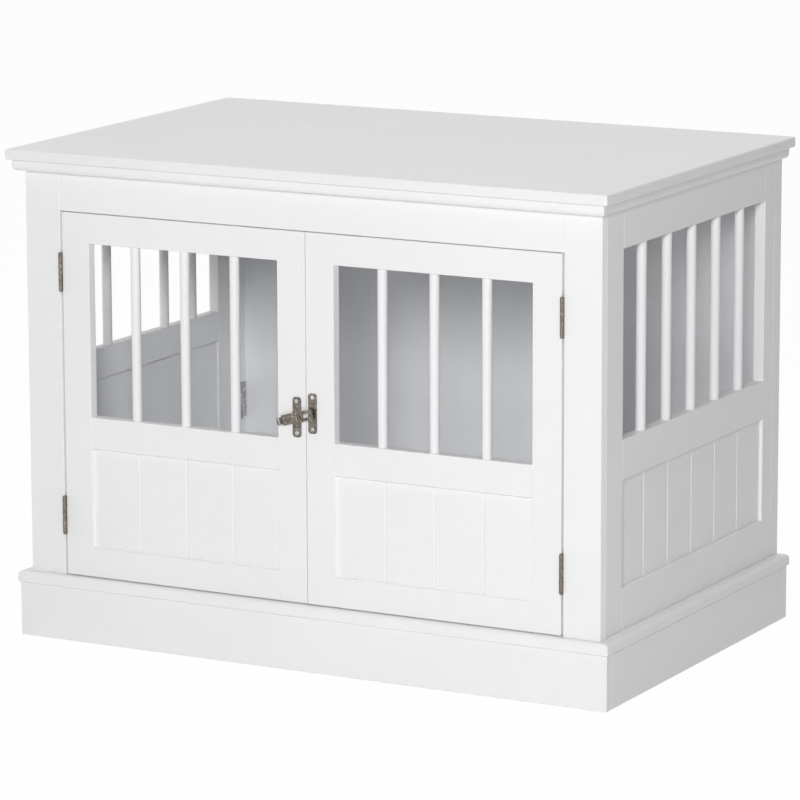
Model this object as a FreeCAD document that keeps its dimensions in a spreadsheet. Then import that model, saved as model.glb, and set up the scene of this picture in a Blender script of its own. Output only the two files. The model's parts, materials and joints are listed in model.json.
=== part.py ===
"""Dog crate end table: a white framed cage with two front doors under a table top.

Millimetres, +Z up, front towards -Y, origin on the floor under the middle of the table top.
Every size is a named cell of the Sizes sheet, and every piece is bound to those cells.
"""
import FreeCAD
import Part
import Sketcher
import math
import os
import re

V = FreeCAD.Vector
X_AXIS, Y_AXIS, Z_AXIS = V(1, 0, 0), V(0, 1, 0), V(0, 0, 1)

SIZES = (
    ("top_length", 880, "table top, left to right"),
    ("top_depth", 580, "table top, front to back"),
    ("top_height", 660, "floor to the upper face"),
    ("top_thick", 14, "table top slab"),
    ("top_round", 2.5, "rounding of the slab's edges"),
    ("hang_side", 17, "slab beyond the body at each side"),
    ("hang_front", 23, "slab beyond the body at the front"),
    ("hang_rear", 6, "slab beyond the body at the rear"),
    ("board", 15, "thickness of every frame board"),
    ("arris", 0.6, "eased edge of every frame board"),
    ("mould_drop", 15, "height of the moulding under the slab"),
    ("mould_inset", 7, "moulding behind the slab's edge"),
    ("mould_round", 7, "ovolo of the moulding"),
    ("post_width", 52.5, "front posts"),
    ("rear_post", 23.5, "rear posts, front to back"),
    ("back_thick", 5, "back sheet"),
    ("back_lap", 8, "back sheet let into each rear post"),
    ("plinth_height", 72, "plinth boards"),
    ("plinth_proud", 9, "plinth beyond the body at the front"),
    ("plinth_side", 13.5, "plinth beyond the body at each side"),
    ("plinth_rear", 2, "plinth beyond the body at the rear"),
    ("cap_height", 16, "moulding on the plinth"),
    ("cap_proud", 2.5, "moulding beyond the plinth boards"),
    ("cap_width", 45, "moulding, outer edge to floor opening"),
    ("cap_nose", 6, "upper rounding of the plinth moulding"),
    ("cap_under", 3, "lower rounding of the plinth moulding"),
    ("floor_thick", 12, "floor panel"),
    ("floor_ease", 0.5, "room around the floor panel"),
    ("cleat_wide", 30, "floor cleats"),
    ("cleat_tall", 20, "floor cleats"),
    ("block", 15, "square strips under the slab"),
    ("side_low", 56, "right side, bottom rail"),
    ("side_panel", 140, "right side, grooved panel"),
    ("side_mid", 52, "right side, middle rail"),
    ("side_high", 66, "right side and front, top rail"),
    ("side_front", 47, "right side, front stile"),
    ("side_rear", 30.5, "right side, rear stile"),
    ("side_bars", 5, "spindles in the right side"),
    ("side_boards", 6, "boards shown by the grooves of the right side's panel"),
    ("flank_low", 56, "left side, bottom rail"),
    ("flank_panel", 180, "left side, grooved panel"),
    ("flank_mid", 42, "left side, middle rail"),
    ("flank_high", 66, "left side, top rail"),
    ("flank_front", 36, "left side, front stile"),
    ("flank_rear", 55.5, "left side, rear stile"),
    ("flank_bars", 5, "spindles in the left side"),
    ("flank_boards", 6, "boards shown by the grooves of the left side's panel"),
    ("door_gap", 1.2, "above and below the doors"),
    ("door_low", 40, "door, bottom rail"),
    ("door_panel", 134, "door, grooved panel"),
    ("door_mid", 43, "door, middle rail"),
    ("door_high", 40, "door, top rail"),
    ("door_stile", 41, "door, both stiles"),
    ("door_bars", 3, "spindles in each door"),
    ("door_boards", 4, "boards shown by the grooves of a door panel"),
    ("hinge_gap", 3, "door to front post"),
    ("meet_gap", 1.2, "door to door"),
    ("bar_round", 6.5, "spindle radius"),
    ("bar_pitch", 75, "spindle spacing"),
    ("bar_seat", 8, "spindle let into each rail"),
    ("bar_ease", 0.1, "room around a spindle in its socket"),
    ("panel_thick", 6, "grooved panels"),
    ("panel_recess", 5, "grooved panel behind the frame's face"),
    ("panel_tongue", 6, "panel let into the frame on each edge"),
    ("panel_ease", 0.1, "room around a panel in its groove"),
    ("vee", 1.6, "depth of the panel grooves"),
    ("knuckle_round", 2.6, "hinge barrel radius"),
    ("knuckle_gap", 0.2, "knuckle to knuckle"),
    ("hinge_tall", 50.8, "hinge height"),
    ("hinge_stand", 3, "door hinge axis before the door's face"),
    ("hinge_low", 80.8, "door's lower edge to the middle of the lower hinges"),
    ("hinge_high", 80.3, "door's upper edge to the middle of the upper hinges"),
    ("leaf_thick", 1.2, "hinge leaf"),
    ("leaf_start", 3.4, "leaf beside the other leaf's knuckles, from the axis"),
    ("door_reach", 17, "door hinge leaf, from the axis to its far edge"),
    ("fold_reach", 18, "side hinge leaf, from the axis to its far edge"),
    ("fold_stand", 3.1, "side hinge axis before the wall"),
    ("fold_inset", 140, "side hinges' middles from the ends of the rear posts"),
    ("pin_round", 1.4, "hinge pin radius"),
    ("pin_head", 2.3, "hinge pin head radius"),
    ("pin_cap", 0.9, "hinge pin head height"),
    ("pin_fit", 0.05, "room around a pin in its knuckles"),
    ("screw_round", 1.5, "screw shank radius"),
    ("screw_head", 2.6, "screw head radius"),
    ("screw_sink", 1.1, "countersunk head depth"),
    ("screw_raise", 0.9, "height of a raised screw head"),
    ("screw_long", 10, "screw shank in the wood"),
    ("screw_fit", 0.05, "room around a screw"),
    ("screw_spread", 16, "screws above and below a hinge's middle"),
    ("latch_x", 13, "latch plate left of the middle"),
    ("latch_rise", 29.7, "door's middle rail to the middle of the latch plate"),
    ("catch_x", 10.2, "catch plate right of the middle"),
    ("catch_rise", 36.4, "door's middle rail to the middle of the catch plate"),
    ("plate_wide", 12.6, "latch and catch plates"),
    ("plate_tall", 53, "latch and catch plates"),
    ("plate_thick", 1.2, "latch and catch plates"),
    ("plate_round", 4, "corners of the latch and catch plates"),
    ("plate_screw", 21, "plate screws from the plate's middle"),
    ("axle_along", 8.5, "lever axis from the latch plate's middle"),
    ("axle_off", 3.7, "lever axis before the door's face"),
    ("axle_round", 1.1, "lever pin radius"),
    ("axle_long", 14.6, "lever pin length"),
    ("eye_round", 2, "lever and plate knuckle radius"),
    ("eye_half", 2.6, "half height of the plate's knuckle"),
    ("latch_gap", 0.2, "room between the latch's moving pieces"),
    ("lever_tall", 13.8, "lever height"),
    ("lever_thick", 1.2, "lever sheet"),
    ("handle_along", 21, "lever, full height, behind the latch plate's middle"),
    ("finger_along", 24.5, "finger curl behind the latch plate's middle"),
    ("finger_tall", 9, "finger curl height"),
    ("finger_off", 6.1, "finger curl before the door's face"),
    ("finger_round", 3.2, "finger curl radius"),
    ("lug_round", 1.8, "lug that carries the bail"),
    ("lug_half", 2.4, "half height of the lug"),
    ("bail_along", 2.5, "bail axis from the latch plate's middle"),
    ("bail_off", 6.9, "bail axis before the door's face"),
    ("bail_pin", 0.9, "bail pin radius"),
    ("bail_eye", 1.6, "bail eye radius"),
    ("bail_long", 24.6, "bail, axis to far edge"),
    ("bail_tall", 13.5, "bail height"),
    ("bail_slot", 5.5, "bail slot height"),
    ("bail_web", 5.2, "bail, axis to its slot"),
    ("bail_thick", 1.3, "bail sheet"),
    ("bail_bar", 2.2, "bail end bar"),
    ("bail_round", 4, "bail corner radius"),
    ("bail_lean", 2.4, "degrees the bail leans towards the hook"),
    ("hook_half", 2.5, "half height of the hook"),
    ("hook_thick", 1.4, "hook stem"),
    ("hook_face", 0.45, "hook stem's far face from the catch plate's middle"),
    ("hook_reach", 2.4, "hook lip beyond the stem"),
    ("hook_off", 7.5, "underside of the hook lip before the door's face"),
    ("hook_lip", 1.2, "hook lip thickness"),
    ("stud_along", 4.2, "rivet from the catch plate's middle"),
    ("stud_round", 1.8, "rivet head radius"),
    ("stud_rise", 1.1, "rivet head height"),
)

HALF = "(top_length/2 - hang_side)"
FRONT = "(hang_front - top_depth/2)"
REAR = "(top_depth/2 - hang_rear)"
SLAB = "(top_height - top_thick)"
STAND = "(plinth_height + cap_height)"
OPENING = f"({HALF} - post_width)"
DOOR_BASE = f"({STAND} + door_gap)"
DOOR_TOP = f"({SLAB} - side_high - door_gap)"
DOOR_WINDOW = f"({DOOR_TOP} - {DOOR_BASE} - door_low - door_panel - door_mid - door_high)"
RAIL_TOP = f"({DOOR_BASE} + door_low + door_panel + door_mid)"
LATCH_Z = f"({RAIL_TOP} + latch_rise)"
CATCH_Z = f"({RAIL_TOP} + catch_rise)"
DOOR = f"({OPENING} - hinge_gap - meet_gap/2)"
SIDE = f"({REAR} - rear_post - {FRONT} - board)"
SIDE_WINDOW = f"({SLAB} - {STAND} - side_low - side_panel - side_mid - side_high)"
FLANK_WINDOW = f"({SLAB} - {STAND} - flank_low - flank_panel - flank_mid - flank_high)"
BASE_X = f"({HALF} + plinth_side)"
BASE_FRONT = f"({FRONT} - plinth_proud)"
BASE_REAR = f"({REAR} + plinth_rear)"
CAP_X = f"({BASE_X} + cap_proud)"
CAP_FRONT = f"({BASE_FRONT} - cap_proud)"
CAP_REAR = f"({BASE_REAR} + cap_proud)"
MOULD_X = "(top_length/2 - mould_inset)"
MOULD_FRONT = "(mould_inset - top_depth/2)"
HINGE_X = f"({OPENING} - hinge_gap/2)"
HINGE_Y = f"({FRONT} - hinge_stand)"
KNUCKLES = 5
KNUCKLE = f"(hinge_tall/{KNUCKLES})"
DOOR_SCREW = "((leaf_start + door_reach)/2)"
FOLD_SCREW = "((leaf_start + fold_reach)/2)"
LINE = "(axle_off - lever_thick/2)"

doc = FreeCAD.newDocument("CrateTable")
sheet = doc.addObject("Spreadsheet::Sheet", "Sizes")
for row, (alias, value, note) in enumerate(SIZES, 1):
    sheet.set(f"A{row}", note)
    sheet.set(f"B{row}", str(value))
    sheet.setAlias(f"B{row}", alias)
doc.recompute()

ALIAS = re.compile(r"\b(" + "|".join(alias for alias, value, note in SIZES) + r")\b")
nodes = []


def bind(obj, prop, text):
    """Bind a property to an expression written with the sheet's aliases."""
    obj.setExpression(prop, ALIAS.sub(r"Sizes.\1", str(text)))


def put(obj, x, y, z, angle=0, axis=Z_AXIS):
    """Turn an object about an axis through its origin and bind its position."""
    obj.Placement = FreeCAD.Placement(V(), FreeCAD.Rotation(axis, angle))
    for letter, text in zip("xyz", (x, y, z)):
        bind(obj, f"Placement.Base.{letter}", text)
    return obj


def node(obj, name):
    """Name an object as a sub-part to be exported."""
    obj.Label = name
    nodes.append(obj)
    return obj


def feature(owner, kind, name, **sizes):
    """Add a feature to a body, or a primitive to the document, with bound sizes."""
    make = owner.newObject if hasattr(owner, "newObject") else owner.addObject
    obj = make(kind, name)
    for prop, text in sizes.items():
        bind(obj, prop, text)
    return obj


def board(name, spot, long, deep, tall, angle=0):
    """A frame board with all its edges eased."""
    body = node(doc.addObject("PartDesign::Body", name), name)
    blank = feature(body, "PartDesign::AdditiveBox", "blank", Length=long, Width=deep, Height=tall)
    ease = feature(body, "PartDesign::Chamfer", "ease", Size="arris")
    ease.Base = (blank, [""])
    ease.UseAllEdges = True
    return put(body, *spot, angle)


def recess(body, spot, long, deep, tall):
    """Cut a box out of a body."""
    cutter = feature(body, "PartDesign::SubtractiveBox", "recess", Length=long, Width=deep, Height=tall)
    put(cutter, *spot)


def pilot(body, spot, axis, angle):
    """Bore a screw's pilot hole, from a spot along the turned axis."""
    bore = feature(body, "PartDesign::SubtractiveCylinder", "pilot",
                   Radius="screw_round + screw_fit", Height="screw_long")
    put(bore, *spot, angle, axis)


def row_of(body, cutter, count, pitch):
    """Repeat a cutting feature along the body's length."""
    axis = [item for item in body.Origin.OriginFeatures if item.Role == "X_Axis"][0]
    pattern = feature(body, "PartDesign::LinearPattern", "row", Length=f"({count} - 1)*{pitch}",
                      Occurrences=count)
    pattern.Originals = [cutter]
    pattern.Direction = (axis, [""])
    body.Tip = pattern


def sockets(body, span, kind, level):
    """Bore the spindles' sockets in a rail, starting at a level above its lower edge."""
    bore = feature(body, "PartDesign::SubtractiveCylinder", "socket",
                   Radius="bar_round + bar_ease", Height="bar_seat")
    put(bore, f"{span}/2 - ({kind}_bars - 1)/2*bar_pitch", "board/2", level)
    row_of(body, bore, f"{kind}_bars", "bar_pitch")


def copies(name, original, spots):
    """A group of like pieces, one copy of the original at each spot."""
    links = []
    for spot in spots:
        link = doc.addObject("App::Link", "copy")
        link.LinkedObject = original
        links.append(put(link, *spot))
    group = doc.addObject("Part::Compound", name)
    group.Links = links
    return group


def box(name, spot, long, deep, tall):
    """A box primitive with its low corner at a spot."""
    return put(feature(doc, "Part::Box", name, Length=long, Width=deep, Height=tall), *spot)


def rod(name, spot, radius, tall, angle=0, axis=Z_AXIS):
    """A cylinder primitive standing on a spot, turned about an axis through it."""
    return put(feature(doc, "Part::Cylinder", name, Radius=radius, Height=tall), *spot, angle, axis)


def fuse(name, shapes):
    """One solid out of overlapping primitives."""
    solid = doc.addObject("Part::MultiFuse", name)
    solid.Shapes = shapes
    solid.Refine = True
    return solid


def cut(name, base, tool):
    """One shape less another."""
    solid = doc.addObject("Part::Cut", name)
    solid.Base = base
    solid.Tool = tool
    return solid


def screen(name, kind, origin, angle, base, width, window, first, second):
    """A barred frame: two stiles, three rails, a grooved panel and spindles.

    u runs along the frame from its first stile, and v from its outer face inwards.
    """
    def spot(u, v, z):
        x, y = origin
        if angle > 0:
            return f"{x} - ({v})", f"{y} + {u}", z
        if angle < 0:
            return f"{x} + {v}", f"{y} - ({u})", z
        return f"{x} + {u}", f"{y} + {v}", z

    (first_name, first_width), (second_name, second_width) = first, second
    span = f"({width} - {first_width} - {second_width})"
    low, panel, mid, high = (f"{kind}_{part}" for part in ("low", "panel", "mid", "high"))
    tall = f"({low} + {panel} + {mid} + {window} + {high})"
    slot_wide = "panel_thick + 2*panel_ease"
    slot_deep = "(panel_tongue + panel_ease)"
    slot_v = "panel_recess - panel_ease"

    stiles = {}
    for stile, wide, u, inner in (
        (first_name, first_width, "0", f"{first_width} - {slot_deep}"),
        (second_name, second_width, f"{width} - {second_width}", "0"),
    ):
        piece = board(f"{name}_{stile}", spot(u, "0", base), wide, "board", tall, angle)
        recess(piece, (inner, slot_v, f"{low} - {slot_deep}"), slot_deep, slot_wide,
               f"{panel} + 2*{slot_deep}")
        stiles[stile] = piece

    top = board(f"{name}_top_rail", spot(first_width, "0", f"{base} + {tall} - {high}"),
                span, "board", high, angle)
    sockets(top, span, kind, "0")
    middle = board(f"{name}_mid_rail", spot(first_width, "0", f"{base} + {low} + {panel}"),
                   span, "board", mid, angle)
    recess(middle, ("0", slot_v, "0"), span, slot_wide, slot_deep)
    sockets(middle, span, kind, f"{mid} - bar_seat")
    bottom = board(f"{name}_bottom_rail", spot(first_width, "0", base), span, "board", low, angle)
    recess(bottom, ("0", slot_v, f"{low} - {slot_deep}"), span, slot_wide, slot_deep)

    sheet_tall = f"({panel} + 2*panel_tongue)"
    infill = node(doc.addObject("PartDesign::Body", f"{name}_panel"), f"{name}_panel")
    feature(infill, "PartDesign::AdditiveBox", "blank", Length=f"{span} + 2*panel_tongue",
            Width="panel_thick", Height=sheet_tall)
    groove = feature(infill, "PartDesign::SubtractivePrism", "groove",
                     Polygon="4", Circumradius="vee", Height=sheet_tall)
    put(groove, f"panel_tongue + {span}/{kind}_boards", "0", "0")
    row_of(infill, groove, f"({kind}_boards - 1)", f"{span}/{kind}_boards")
    put(infill, *spot(f"({first_width} - panel_tongue)", "panel_recess",
                      f"{base} + {low} - panel_tongue"), angle)

    bar = feature(doc, "Part::Cylinder", f"{name}_spindle", Radius="bar_round",
                  Height=f"{window} + 2*bar_seat")
    count = int(sheet.get(f"{kind}_bars"))
    node(copies(f"{name}_spindles", bar, [
        spot(f"({first_width} + {span}/2 + {index - (count - 1) / 2}*bar_pitch)", "board/2",
             f"{base} + {low} + {panel} + {mid} - bar_seat")
        for index in range(count)]), f"{name}_spindles")
    return stiles


def strip(name, corners, z, tall, upper=None, lower=None):
    """A mitred strip on four plan corners, with its outer long edges rounded."""
    body = node(doc.addObject("PartDesign::Body", name), name)
    plan = body.newObject("Sketcher::SketchObject", "plan")
    plane = [item for item in body.Origin.OriginFeatures if item.Role == "XY_Plane"][0]
    plan.AttachmentSupport = (plane, [""])
    plan.MapMode = "FlatFace"
    start = (V(), X_AXIS, X_AXIS + Y_AXIS, Y_AXIS)
    for index, point in enumerate(start):
        plan.addGeometry(Part.LineSegment(point, start[(index + 1) % len(start)]), False)
    for index in range(len(start)):
        plan.addConstraint(Sketcher.Constraint("Coincident", index, 2, (index + 1) % len(start), 1))
    for index, (x, y) in enumerate(corners):
        for kind, letter, text, at in (("DistanceX", "x", x, start[index].x),
                                       ("DistanceY", "y", y, start[index].y)):
            made = plan.addConstraint(Sketcher.Constraint(kind, -1, 1, index, 1, at))
            plan.renameConstraint(made, f"{letter}{index}")
            bind(plan, f"Constraints.{letter}{index}", text)
    rounded = feature(body, "PartDesign::Pad", "pad", Length=tall)
    rounded.Profile = plan
    doc.recompute()
    for radius, last in ((upper, True), (lower, False)):
        if radius is None:
            continue
        edges = rounded.Shape.Edges
        outer = sorted(range(len(edges)), key=lambda item: edges[item].Length)[-2:]
        outer.sort(key=lambda item: edges[item].CenterOfMass.z)
        base = rounded
        rounded = feature(body, "PartDesign::Fillet", "round", Radius=radius)
        rounded.Base = (base, [f"Edge{outer[-1 if last else 0] + 1}"])
        doc.recompute()
    put(body, "0", "0", z)


def screw(name, raised):
    """A wood screw: the seat of its head at its origin facing up, shank downwards."""
    shank = rod("shank", ("0", "0", "-screw_long"), "screw_round", "screw_long")
    low, high, tall, level = "screw_round", "screw_head", "screw_sink", "-screw_sink"
    if raised:
        low, high, tall, level = "screw_head", "screw_head*0.6", "screw_raise", "0"
    head = feature(doc, "Part::Cone", "head", Radius1=low, Radius2=high, Height=tall)
    return fuse(name, [shank, put(head, "0", "0", level)])


def countersink():
    """The room a countersunk screw needs in a hinge leaf."""
    sink = feature(doc, "Part::Cone", "sink", Radius1="screw_round + screw_fit",
                   Radius2="screw_head + screw_fit", Height="screw_sink")
    put(sink, "0", "0", "-screw_sink")
    shank = rod("through", ("0", "0", "-leaf_thick*2"), "screw_round + screw_fit", "leaf_thick*2")
    return fuse("countersink", [sink, shank])


def leaf(name, face, reach, screw_y, own):
    """A hinge leaf at +Y of its barrel axis, its outer face turned to -X, on its own knuckles."""
    shapes = [box("flap", (face, "leaf_start", "-hinge_tall/2"),
                  "leaf_thick", f"{reach} - leaf_start", "hinge_tall")]
    for index in own:
        level = f"-hinge_tall/2 + {index}*{KNUCKLE} + knuckle_gap/2"
        tall = f"{KNUCKLE} - knuckle_gap"
        shapes.append(rod("knuckle", ("0", "0", level), "knuckle_round", tall))
        shapes.append(box("tab", (face, "0", level), "leaf_thick", "leaf_start + arris", tall))
    bore = rod("bore", ("0", "0", "-hinge_tall"), "pin_round + pin_fit", "hinge_tall*2")
    sinks = copies("sinks", sink, [(face, screw_y, level, -90, Y_AXIS)
                                   for level in ("-screw_spread", "screw_spread")])
    return cut(name, cut("bored", fuse("folded", shapes), bore), sinks)


def hinge_pin():
    """A hinge pin with a small head at each end."""
    shank = rod("shank", ("0", "0", "-hinge_tall/2 - pin_cap/2"), "pin_round", "hinge_tall + pin_cap")
    heads = []
    for angle, level in ((0, "hinge_tall/2"), (180, "-hinge_tall/2")):
        head = feature(doc, "Part::Cone", "head", Radius1="pin_head", Radius2="pin_round",
                       Height="pin_cap")
        heads.append(put(head, "0", "0", level, angle, X_AXIS))
    return fuse("hinge_pin", [shank] + heads)


def face_plate(name):
    """A screwed plate with rounded corners, standing on the door's face, middle at the origin."""
    across, up = "(plate_wide/2 - plate_round)", "(plate_tall/2 - plate_round)"
    straps = [
        box("strap", ("-plate_wide/2", "-plate_thick", f"-{up}"),
            "plate_wide", "plate_thick", f"2*{up}"),
        box("strap", (f"-{across}", "-plate_thick", "-plate_tall/2"),
            f"2*{across}", "plate_thick", "plate_tall")]
    corners = [rod("corner", (f"{side}{across}", "0", f"{end}{up}"), "plate_round", "plate_thick",
                   90, X_AXIS) for side in ("", "-") for end in ("", "-")]
    blank = fuse("blank", straps + corners)
    holes = copies("holes", rod("hole", ("0", "0", "0"), "screw_round + screw_fit", "plate_thick"), [
        ("0", "0", level, 90, X_AXIS) for level in ("plate_screw", "-plate_screw")])
    return cut(name, blank, holes)


# Table top and its moulding.
slab = node(doc.addObject("PartDesign::Body", "table_top"), "table_top")
slab_blank = feature(slab, "PartDesign::AdditiveBox", "blank",
                     Length="top_length", Width="top_depth", Height="top_thick")
slab_round = feature(slab, "PartDesign::Fillet", "round", Radius="top_round")
slab_round.Base = (slab_blank, [""])
slab_round.UseAllEdges = True
put(slab, "-top_length/2", "-top_depth/2", SLAB)

MOULD_Z = f"{SLAB} - mould_drop"
strip("top_moulding_front", (
    (f"-{MOULD_X}", MOULD_FRONT), (MOULD_X, MOULD_FRONT), (HALF, FRONT), (f"-{HALF}", FRONT)),
    MOULD_Z, "mould_drop", lower="mould_round")
strip("top_moulding_right", (
    (MOULD_X, MOULD_FRONT), (MOULD_X, REAR), (HALF, REAR), (HALF, FRONT)),
    MOULD_Z, "mould_drop", lower="mould_round")
strip("top_moulding_left", (
    (f"-{MOULD_X}", MOULD_FRONT), (f"-{HALF}", FRONT), (f"-{HALF}", REAR), (f"-{MOULD_X}", REAR)),
    MOULD_Z, "mould_drop", lower="mould_round")

# Plinth, its moulding and the floor.
LENGTH = f"2*{BASE_X}"
INSIDE = f"{BASE_REAR} - {BASE_FRONT} - 2*board"
board("plinth_front", (f"-{BASE_X}", BASE_FRONT, "0"), LENGTH, "board", "plinth_height")
board("plinth_back", (f"-{BASE_X}", f"{BASE_REAR} - board", "0"), LENGTH, "board", "plinth_height")
board("plinth_left", (f"-{BASE_X}", f"{BASE_FRONT} + board", "0"), "board", INSIDE, "plinth_height")
board("plinth_right", (f"{BASE_X} - board", f"{BASE_FRONT} + board", "0"), "board", INSIDE,
      "plinth_height")

OPEN_X = f"({CAP_X} - cap_width)"
OPEN_FRONT = f"({CAP_FRONT} + cap_width)"
OPEN_REAR = f"({CAP_REAR} - cap_width)"
for side, corners in (
    ("front", ((f"-{CAP_X}", CAP_FRONT), (CAP_X, CAP_FRONT), (OPEN_X, OPEN_FRONT),
               (f"-{OPEN_X}", OPEN_FRONT))),
    ("back", ((f"-{OPEN_X}", OPEN_REAR), (OPEN_X, OPEN_REAR), (CAP_X, CAP_REAR),
              (f"-{CAP_X}", CAP_REAR))),
    ("left", ((f"-{CAP_X}", CAP_FRONT), (f"-{OPEN_X}", OPEN_FRONT), (f"-{OPEN_X}", OPEN_REAR),
              (f"-{CAP_X}", CAP_REAR))),
    ("right", ((OPEN_X, OPEN_FRONT), (CAP_X, CAP_FRONT), (CAP_X, CAP_REAR), (OPEN_X, OPEN_REAR))),
):
    strip(f"base_cap_{side}", corners, "plinth_height", "cap_height", "cap_nose", "cap_under")

board("floor_panel", (f"floor_ease - {OPEN_X}", f"{OPEN_FRONT} + floor_ease", "plinth_height"),
      f"2*({OPEN_X} - floor_ease)", f"{OPEN_REAR} - {OPEN_FRONT} - 2*floor_ease", "floor_thick")

LEDGE_X = f"({OPEN_X} - cleat_wide/2)"
LEDGE_FRONT = f"({OPEN_FRONT} + cleat_wide/2)"
LEDGE_REAR = f"({OPEN_REAR} - cleat_wide/2)"
LEDGE_Z = "plinth_height - cleat_tall"
BLOCK_Z = f"{SLAB} - block"
INNER = f"({HALF} - board)"
BLOCK_LONG = f"{REAR} - rear_post - {FRONT} - board - block"
cleats = doc.addObject("Part::Compound", "cleats")
cleats.Links = [
    box("cleat", (f"-{LEDGE_X} - cleat_wide", f"{LEDGE_FRONT} - cleat_wide", LEDGE_Z),
        f"2*({LEDGE_X} + cleat_wide)", "cleat_wide", "cleat_tall"),
    box("cleat", (f"-{LEDGE_X} - cleat_wide", LEDGE_REAR, LEDGE_Z),
        f"2*({LEDGE_X} + cleat_wide)", "cleat_wide", "cleat_tall"),
    box("cleat", (f"-{LEDGE_X} - cleat_wide", LEDGE_FRONT, LEDGE_Z),
        "cleat_wide", f"{LEDGE_REAR} - {LEDGE_FRONT}", "cleat_tall"),
    box("cleat", (LEDGE_X, LEDGE_FRONT, LEDGE_Z),
        "cleat_wide", f"{LEDGE_REAR} - {LEDGE_FRONT}", "cleat_tall"),
    box("block", (f"-{INNER}", f"{FRONT} + board", BLOCK_Z), f"2*{INNER}", "block", "block"),
    box("block", (f"-{INNER}", f"{FRONT} + board + block", BLOCK_Z), "block", BLOCK_LONG, "block"),
    box("block", (f"{INNER} - block", f"{FRONT} + board + block", BLOCK_Z),
        "block", BLOCK_LONG, "block"),
]
node(cleats, "cleats")

# Front frame.
TALL = f"{SLAB} - {STAND}"
left_post = board("front_left_post", (f"-{HALF}", FRONT, STAND), "post_width", "board", TALL)
right_post = board("front_right_post", (OPENING, FRONT, STAND), "post_width", "board", TALL)
board("front_top_rail", (f"-{OPENING}", FRONT, f"{SLAB} - side_high"), f"2*{OPENING}", "board",
      "side_high")

# Side frames.
right_stiles = screen("right", "side", (HALF, f"{FRONT} + board"), 90, STAND, SIDE, SIDE_WINDOW,
                      ("front_stile", "side_front"), ("rear_stile", "side_rear"))
left_stiles = screen("left", "flank", (f"-{HALF}", f"{REAR} - rear_post"), -90, STAND, SIDE,
                     FLANK_WINDOW, ("rear_stile", "flank_rear"), ("front_stile", "flank_front"))

# Back.
left_rear = board("left_rear_post", (f"-{HALF}", f"{REAR} - rear_post", STAND), "board",
                  "rear_post", TALL)
recess(left_rear, ("board - back_lap", "rear_post - back_thick", "0"), "back_lap", "back_thick", TALL)
right_rear = board("right_rear_post", (INNER, f"{REAR} - rear_post", STAND), "board",
                   "rear_post", TALL)
recess(right_rear, ("0", "rear_post - back_thick", "0"), "back_lap", "back_thick", TALL)
board("back_panel", (f"-{INNER} - back_lap", f"{REAR} - back_thick", STAND),
      f"2*({INNER} + back_lap)", "back_thick", TALL)

# Doors.
left_door = screen("left_door", "door", (f"hinge_gap - {OPENING}", FRONT), 0, DOOR_BASE, DOOR,
                   DOOR_WINDOW, ("hinge_stile", "door_stile"), ("meeting_stile", "door_stile"))
right_door = screen("right_door", "door", ("meet_gap/2", FRONT), 0, DOOR_BASE, DOOR,
                    DOOR_WINDOW, ("meeting_stile", "door_stile"), ("hinge_stile", "door_stile"))

# Hinges, pins and screws.
sink = countersink()
LEAF_FACE = "(hinge_gap/2 - leaf_thick)"
FOLD_FACE = "(fold_stand - leaf_thick)"
frame_leaf = leaf("frame_leaf", LEAF_FACE, "door_reach", DOOR_SCREW, (0, 2, 4))
door_leaf = leaf("door_leaf", LEAF_FACE, "door_reach", DOOR_SCREW, (1, 3))
rear_leaf = leaf("rear_leaf", FOLD_FACE, "fold_reach", FOLD_SCREW, (0, 2, 4))
wall_leaf = leaf("wall_leaf", FOLD_FACE, "fold_reach", FOLD_SCREW, (1, 3))
flat_screw = screw("flat_screw", False)
round_screw = screw("round_screw", True)
pin = hinge_pin()

HINGES = (f"{DOOR_BASE} + hinge_low", f"{DOOR_TOP} - hinge_high")
FOLDS = (f"{STAND} + fold_inset", f"{SLAB} - fold_inset")
FOLD_X = f"({INNER} - fold_stand)"
FOLD_Y = f"({REAR} - rear_post)"
node(doc.addObject("Part::Compound", "frame_hinge_leaves"), "frame_hinge_leaves").Links = [
    copies("right_leaves", frame_leaf, [(HINGE_X, HINGE_Y, level) for level in HINGES]),
    copies("left_leaves", frame_leaf,
           [(f"-{HINGE_X}", HINGE_Y, level, 180, Y_AXIS) for level in HINGES])]
node(copies("left_door_hinge_leaves", door_leaf,
            [(f"-{HINGE_X}", HINGE_Y, level) for level in HINGES]), "left_door_hinge_leaves")
node(copies("right_door_hinge_leaves", door_leaf,
            [(HINGE_X, HINGE_Y, level, 180, Y_AXIS) for level in HINGES]), "right_door_hinge_leaves")
node(doc.addObject("Part::Compound", "fold_hinge_leaves"), "fold_hinge_leaves").Links = [
    copies("rear_leaves", rear_leaf,
           [(FOLD_X, FOLD_Y, level) for level in FOLDS]
           + [(f"-{FOLD_X}", FOLD_Y, level, 180, Y_AXIS) for level in FOLDS]),
    copies("wall_leaves", wall_leaf,
           [(FOLD_X, FOLD_Y, level, 180, X_AXIS) for level in FOLDS]
           + [(f"-{FOLD_X}", FOLD_Y, level, 180, Z_AXIS) for level in FOLDS])]
node(copies("hinge_pins", pin,
            [(f"{sign}{HINGE_X}", HINGE_Y, level) for sign in ("", "-") for level in HINGES]
            + [(f"{sign}{FOLD_X}", FOLD_Y, level) for sign in ("", "-") for level in FOLDS]),
     "hinge_pins")

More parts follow.
